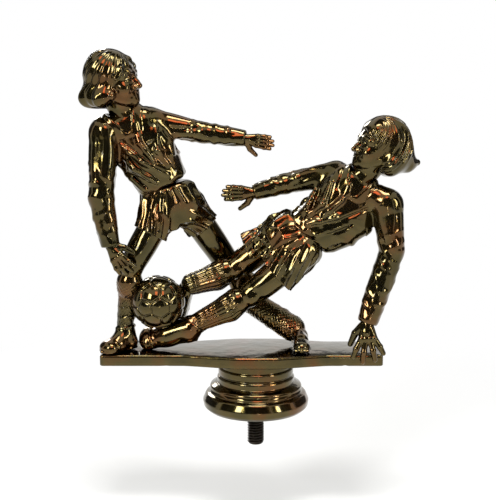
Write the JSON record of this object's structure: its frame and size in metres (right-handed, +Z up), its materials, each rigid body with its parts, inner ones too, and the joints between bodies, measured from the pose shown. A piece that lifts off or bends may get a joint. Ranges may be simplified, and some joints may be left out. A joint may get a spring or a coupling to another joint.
{
  "type": "football figure trophy topper",
  "caption": "Trophy topper: one player stands and another slides in to trap the ball, on a platform with a stepped round pedestal and a threaded stud.",
  "frame": {"origin": "centre of the pedestal's seating face, on the axis of the stud", "axes": "+Z up out of the seating face, +X along the platform towards the sliding player's supporting hand, -Y is the front"},
  "size_m": [0.1148, 0.0366, 0.1424],
  "materials": {
    "antique_gold": "vacuum-metallised dark antique gold, polished",
    "blackened_steel": "blackened, oiled",
    "zinc_plated_steel": "bright zinc plate"
  },
  "bodies": {
    "root": {"pedestal": "antique_gold", "platform": "antique_gold", "mounting_stud": "blackened_steel", "stud_nut": "zinc_plated_steel", "stud_washer": "zinc_plated_steel", "football": "antique_gold", "standing_head": "antique_gold", "standing_torso": "antique_gold", "standing_shorts": "antique_gold", "standing_right_arm": "antique_gold", "standing_left_arm": "antique_gold", "standing_right_leg": "antique_gold", "standing_left_leg": "antique_gold", "standing_right_boot": "antique_gold", "standing_left_boot": "antique_gold", "sliding_head": "antique_gold", "sliding_torso": "antique_gold", "sliding_shorts": "antique_gold", "sliding_right_arm": "antique_gold", "sliding_left_arm": "antique_gold", "sliding_right_leg": "antique_gold", "sliding_left_leg": "antique_gold", "sliding_right_boot": "antique_gold", "sliding_left_boot": "antique_gold"}
  },
  "joints": []
}
